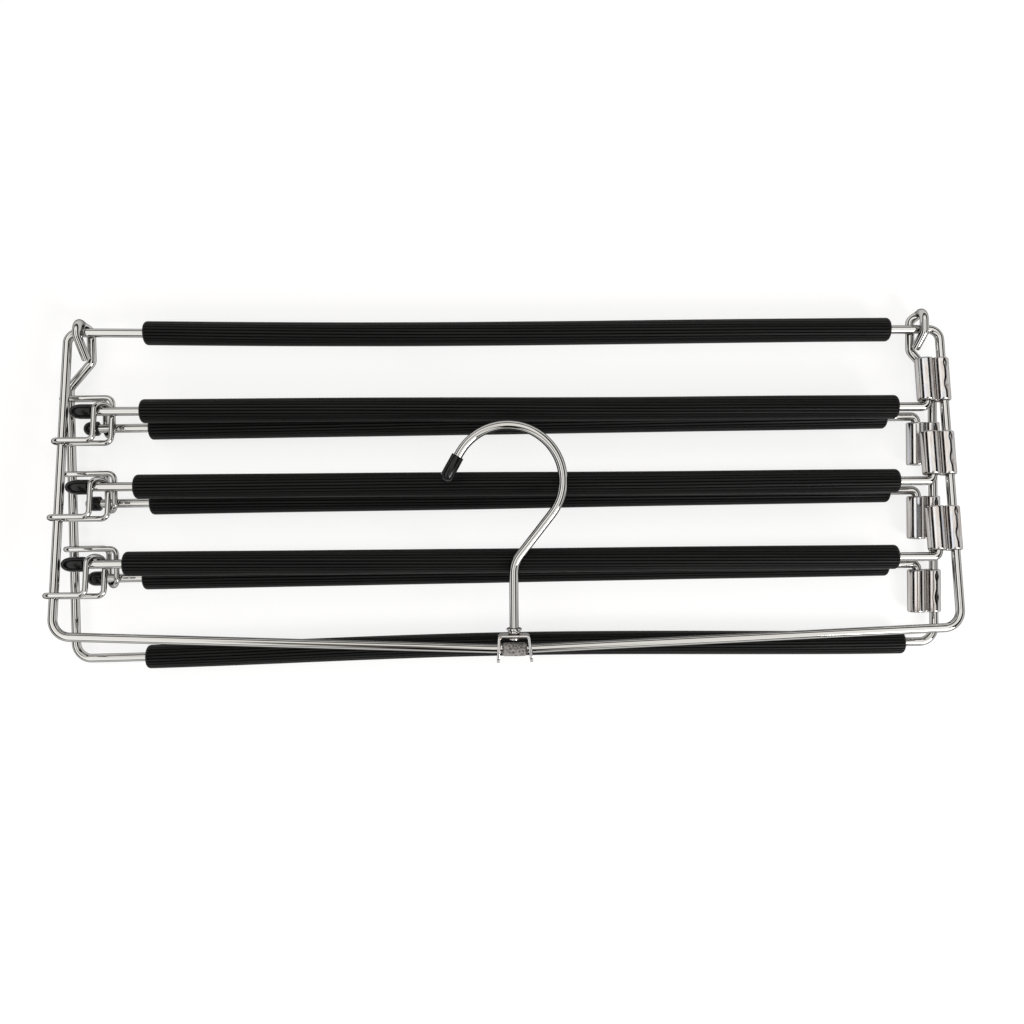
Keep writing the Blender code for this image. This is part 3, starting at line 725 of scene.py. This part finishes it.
swivelHook = {"rise": 73.6, "radius": 24.1, "shift": -2.3, "neck": 37.5, "neckBend": 12.0, "tipTurn": 150.5,
              "tipLength": 13.2, "loopSteps": 44, "sharp": 50,
              "stem": [(3.6, 3.4), (3.68, 4.2), (3.95, 4.7), (4.6, 4.7), (4.9, 4.3), (5.0, 4.0),
                       (6.3, 4.0), (6.4, 4.5), (6.7, 5.2), (7.2, 5.6), (7.7, 5.4), (8.0, 5.0),
                       (8.1, 6.3), (8.25, 6.7), (8.85, 6.7), (9.05, 6.4), (9.15, 5.0), (9.2, 4.0)]}
# stem: height above the wire and diameter, from the peened head under the saddle to the top of the collar

hookCap = {**rubberTip, "diameter": 5.7, "length": 12.0, "nose": 2.6, "noseSteps": 8, "mouthRound": 0.45,
           "boreDepth": 9.2}


def makeHook():
    h = swivelHook
    above = h["rise"] - h["neck"]
    lean = math.asin(h["radius"] / math.hypot(h["shift"], above)) + math.atan2(h["shift"], above)
    loop = Vector((h["shift"], h["rise"], 0))
    joins = loop + h["radius"] * Vector((math.cos(lean), -math.sin(lean), 0))
    heights, diameters = zip(*h["stem"])
    route = [Vector((0, y, 0)) for y in heights]
    route += bentRoute([((0, heights[-1], 0), 0), ((0, h["neck"], 0), h["neckBend"]), (joins, 0)])[1:-1]
    tipTurn = math.radians(h["tipTurn"])
    for i in range(h["loopSteps"] + 1):
        a = -lean + (tipTurn + lean) * i / h["loopSteps"]
        route.append(loop + h["radius"] * Vector((math.cos(a), math.sin(a), 0)))
    tipWay = Vector((-math.sin(tipTurn), math.cos(tipTurn), 0))
    mouth = route[-1] + tipWay * (h["tipLength"] - hookCap["length"])
    route.append(mouth + tipWay * (hookCap["boreDepth"] - stock["gap"]))
    swell = [d / stock["wire"] for d in diameters]
    swell += [1.0] * (len(route) - len(swell))
    bm = bmesh.new()
    drawWire(bm, route, stock["wire"], stock["wireSides"], swell=swell)
    finishPiece(bm, "swivelHook", hookAxes, chrome, "hook", ["swivel_hook"], sharp=h["sharp"])
    capTurn = Vector((0, 0, 1)).rotation_difference(tipWay).to_matrix().to_4x4()
    capPlace = hookAxes @ Matrix.Translation(mouth) @ capTurn
    finishPiece(turnCap(hookCap), "hookCap", capPlace, rubber, "hook", ["hook_tip"])


makeJointBlock()
makeSaddle()
makeHook()
print("joint block, saddle and hook made")

studio = {"floor": "#8c8b8a", "floorSize": 6.0, "floorDrop": 0.00005, "floorGlow": 0.78,
          "paper": "#c7c7c7", "paperTop": (0.27, 0.31), "strength": 1.75,
          "lamp": 8.5, "lampSize": 0.45, "lampPlace": (0.8, -0.7, 0.75),
          "acrossBands": [(-90, "#121110"), (-44, "#121110"), (-41, "#ffffff"), (-30, "#ffffff"),
                          (-14, "#e9e6e3"), (14, "#e6e4e1"), (27, "#fbfaf8"), (29, "#0a0b0f"),
                          (58, "#0a0b0f"), (61, "#b8b6b4"), (90, "#b8b6b4")],
          "alongBands": [(-90, "#1a1918"), (-60, "#1a1918"), (-54, "#ffffff"), (40, "#ffffff"),
                         (50, "#a5a29e"), (58, "#2a2928"), (90, "#1a1918")],
          "patches": [{"across": (-14, 9), "along": (-70, -15), "soft": 4, "colour": "#161412"},
                      {"across": (-14, -2), "along": (-14, 14), "soft": 2, "colour": "#4a4644"}]}
# sizes and places in metres; bands: degrees from straight overhead towards +X or +Y, and the colour there
# patches: dark spots beside the camera
# paperTop: sines of the heights between which the white backdrop all round gives way to the room


def makeFloor():
    # grey paper under a glow that makes it white to the eye and in the chrome, and keeps a soft shadow
    bm = bmesh.new()
    bmesh.ops.create_grid(bm, x_segments=1, y_segments=1, size=studio["floorSize"] / 2,
                          matrix=Matrix.Translation((0, 0, -studio["floorDrop"])))
    mesh = bpy.data.meshes.new("floor")
    bm.to_mesh(mesh)
    bm.free()
    material = bpy.data.materials.new("whitePaper")
    material.use_nodes = True
    tree = material.node_tree
    tree.nodes.clear()
    path = addNode(tree, "ShaderNodeLightPath").outputs
    mirrored = addNode(tree, "ShaderNodeMath", {0: path["Is Glossy Ray"], 1: path["Is Transmission Ray"]},
                       operation="MAXIMUM")
    seen = addNode(tree, "ShaderNodeMath", {0: path["Is Camera Ray"], 1: mirrored.outputs["Value"]},
                   operation="MAXIMUM")
    share = addNode(tree, "ShaderNodeMath", {0: seen.outputs["Value"], 1: studio["floorGlow"]},
                    operation="MULTIPLY")
    paper = addNode(tree, "ShaderNodeBsdfDiffuse", {"Color": linear(studio["floor"])})
    glow = addNode(tree, "ShaderNodeEmission", {"Color": (1, 1, 1, 1), "Strength": share.outputs["Value"]})
    both = addNode(tree, "ShaderNodeAddShader", {0: paper.outputs[0], 1: glow.outputs[0]})
    addNode(tree, "ShaderNodeOutputMaterial", {"Surface": both.outputs[0]})
    mesh.materials.append(material)
    floor = bpy.data.objects.new("floor", mesh)
    bpy.context.scene.collection.objects.link(floor)


def addBands(tree, sideways, up, bands):
    # colours by the angle from straight overhead, from -90 to 90 degrees
    turn = addNode(tree, "ShaderNodeMath", {0: sideways, 1: up}, operation="ARCTAN2")
    share = addNode(tree, "ShaderNodeMapRange", {
        "Value": turn.outputs["Value"], "From Min": -math.pi / 2, "From Max": math.pi / 2})
    stops = [((degrees + 90) / 180, colour) for degrees, colour in bands]
    return addNode(tree, "ShaderNodeValToRGB", {"Fac": share.outputs["Result"]}, stops=stops).outputs["Color"]


def makeLight():
    # a white backdrop all round, dark walls over it, pale ceiling panels with a dark joint, dark spots by the camera
    world = bpy.data.worlds.new("room")
    bpy.context.scene.world = world
    world.use_nodes = True
    tree = world.node_tree
    tree.nodes.clear()
    way = addNode(tree, "ShaderNodeTexCoord").outputs["Generated"]
    parts = addNode(tree, "ShaderNodeSeparateXYZ", {"Vector": way}).outputs
    # a Mix node of colours has its factor at 0, its colours at 6 and 7 and its result at 2
    across = addBands(tree, parts["X"], parts["Z"], studio["acrossBands"])
    along = addBands(tree, parts["Y"], parts["Z"], studio["alongBands"])
    room = addNode(tree, "ShaderNodeMix", {0: 1.0, 6: across, 7: along}, data_type="RGBA", blend_type="MULTIPLY")
    for patch in studio["patches"]:
        spans, soft = [], patch["soft"]
        for direction, part in (("across", "X"), ("along", "Y")):
            low, high = patch[direction]
            edges = [(low - soft, "#000000"), (low + soft, "#ffffff"),
                     (high - soft, "#ffffff"), (high + soft, "#000000")]
            spans.append(addBands(tree, parts[part], parts["Z"], edges))
        shape = addNode(tree, "ShaderNodeMix", {0: 1.0, 6: spans[0], 7: spans[1]},
                        data_type="RGBA", blend_type="MULTIPLY")
        room = addNode(tree, "ShaderNodeMix", {
            0: shape.outputs[2], 6: room.outputs[2], 7: linear(patch["colour"])}, data_type="RGBA")
    low, high = studio["paperTop"]
    over = addNode(tree, "ShaderNodeMapRange", {"Value": parts["Z"], "From Min": low, "From Max": high})
    seen = addNode(tree, "ShaderNodeMix", {
        0: over.outputs["Result"], 6: linear(studio["paper"]), 7: room.outputs[2]}, data_type="RGBA")
    lit = addNode(tree, "ShaderNodeBackground", {"Color": seen.outputs[2], "Strength": studio["strength"]})
    addNode(tree, "ShaderNodeOutputWorld", {"Surface": lit.outputs[0]})
    lampData = bpy.data.lights.new("softbox", "AREA")
    lampData.energy = studio["lamp"]
    lampData.size = studio["lampSize"]
    lamp = bpy.data.objects.new("softbox", lampData)
    lamp.location = studio["lampPlace"]
    lamp.rotation_mode = "QUATERNION"
    lamp.rotation_quaternion = (-lamp.location).to_track_quat("-Z", "Y")
    lamp.visible_camera = False
    bpy.context.scene.collection.objects.link(lamp)


makeFloor()
makeLight()
print("floor and light set")
